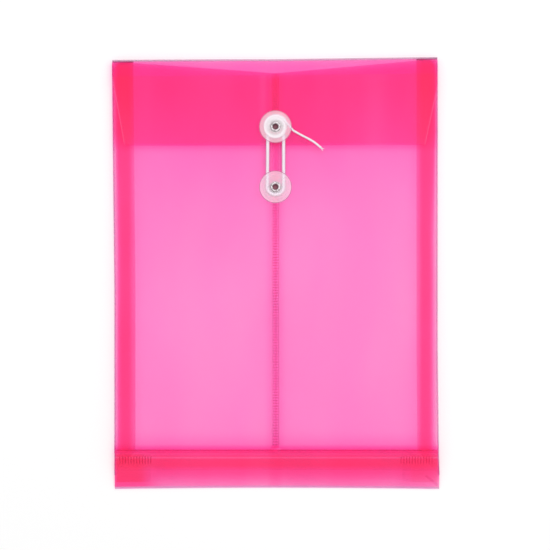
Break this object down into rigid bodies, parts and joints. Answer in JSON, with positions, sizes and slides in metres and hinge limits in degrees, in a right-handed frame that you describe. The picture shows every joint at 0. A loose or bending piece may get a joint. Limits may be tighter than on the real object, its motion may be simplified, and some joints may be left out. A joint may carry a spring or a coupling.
{
  "type": "string-tie document envelope",
  "caption": "Translucent tinted plastic gusseted document envelope whose flap is held shut by a string wound round flat buttons.",
  "frame": {"origin": "centre of the bounding box on the underside of the back panel", "axes": "+X to the right of the front, +Y from the bottom fold to the flap's fold, +Z out of the front panel"},
  "size_m": [0.248, 0.327, 0.0153],
  "materials": {
    "film_panel": "translucent satin film",
    "film_flap": "translucent satin film",
    "film_gusset": "translucent satin film",
    "film_bottom": "translucent satin film with weld marks",
    "disc": "frosted",
    "washer": "frosted",
    "eyelet": "bright nickel plate",
    "string": "twisted white cotton"
  },
  "bodies": {
    "back": {"back_panel": "film_panel", "top_roll": "film_flap"},
    "flap": {"flap_panel": "film_flap", "upper_eyelet": "eyelet", "upper_washer": "washer", "upper_spacer": "washer", "string_winding": "string", "string_loop": "string", "string_tail": "string"},
    "upper_button": {"upper_disc": "disc"},
    "bottom": {"bottom_tab": "film_bottom", "front_hem": "film_bottom", "left_end_block": "film_bottom", "right_end_block": "film_bottom"},
    "front": {"front_left_panel": "film_panel", "front_right_panel": "film_panel", "lower_eyelet": "eyelet", "lower_washer": "washer", "lower_spacer": "washer"},
    "lower_button": {"lower_disc": "disc"},
    "left_rear": {"left_gusset_rear": "film_gusset"},
    "left_front": {"left_gusset_front": "film_gusset"},
    "right_rear": {"right_gusset_rear": "film_gusset"},
    "right_front": {"right_gusset_front": "film_gusset"}
  },
  "joints": [
    {"name": "flap_open", "type": "hinge", "parent": "back", "child": "flap", "pos_m": [0, 0.15893, 0.00458], "axis": [-1, 0, 0], "range_deg": [0, 170], "deforming": ["top_roll", "string_loop"]},
    {"name": "bottom_fold", "type": "hinge", "parent": "back", "child": "bottom", "pos_m": [0, -0.1629, 0.00082], "axis": [1, 0, 0], "range_deg": [0, 38.6]},
    {"name": "hem_fold", "type": "hinge", "parent": "bottom", "child": "front", "pos_m": [0, -0.1369, 0.00617], "axis": [1, 0, 0], "range_deg": [-38.6, 0]},
    {"name": "left_rear_fold", "type": "hinge", "parent": "back", "child": "left_rear", "pos_m": [-0.1237, 0, 0.00082], "axis": [0, -1, 0], "range_deg": [0, 31.1]},
    {"name": "left_inner_fold", "type": "hinge", "parent": "left_rear", "child": "left_front", "pos_m": [-0.10847, 0, 0.00316], "axis": [0, -1, 0], "range_deg": [-62.2, 0]},
    {"name": "right_rear_fold", "type": "hinge", "parent": "back", "child": "right_rear", "pos_m": [0.1237, 0, 0.00082], "axis": [0, 1, 0], "range_deg": [0, 31.1]},
    {"name": "right_inner_fold", "type": "hinge", "parent": "right_rear", "child": "right_front", "pos_m": [0.10847, 0, 0.00316], "axis": [0, 1, 0], "range_deg": [-62.2, 0]},
    {"name": "upper_disc_spin", "type": "hinge", "parent": "flap", "child": "upper_button", "pos_m": [0, 0.1118, 0.0141], "axis": [0, 0, 1], "continuous": true},
    {"name": "lower_disc_spin", "type": "hinge", "parent": "front", "child": "lower_button", "pos_m": [0, 0.066, 0.0098], "axis": [0, 0, 1], "continuous": true}
  ],
  "couplings": [
    {"joint": "bottom_fold", "follows": "flap_open", "ratio": 0.22603},
    {"joint": "hem_fold", "follows": "flap_open", "ratio": -0.22603},
    {"joint": "left_rear_fold", "follows": "flap_open", "ratio": 0.18211},
    {"joint": "left_inner_fold", "follows": "flap_open", "ratio": -0.36421},
    {"joint": "right_rear_fold", "follows": "flap_open", "ratio": 0.18211},
    {"joint": "right_inner_fold", "follows": "flap_open", "ratio": -0.36421}
  ]
}
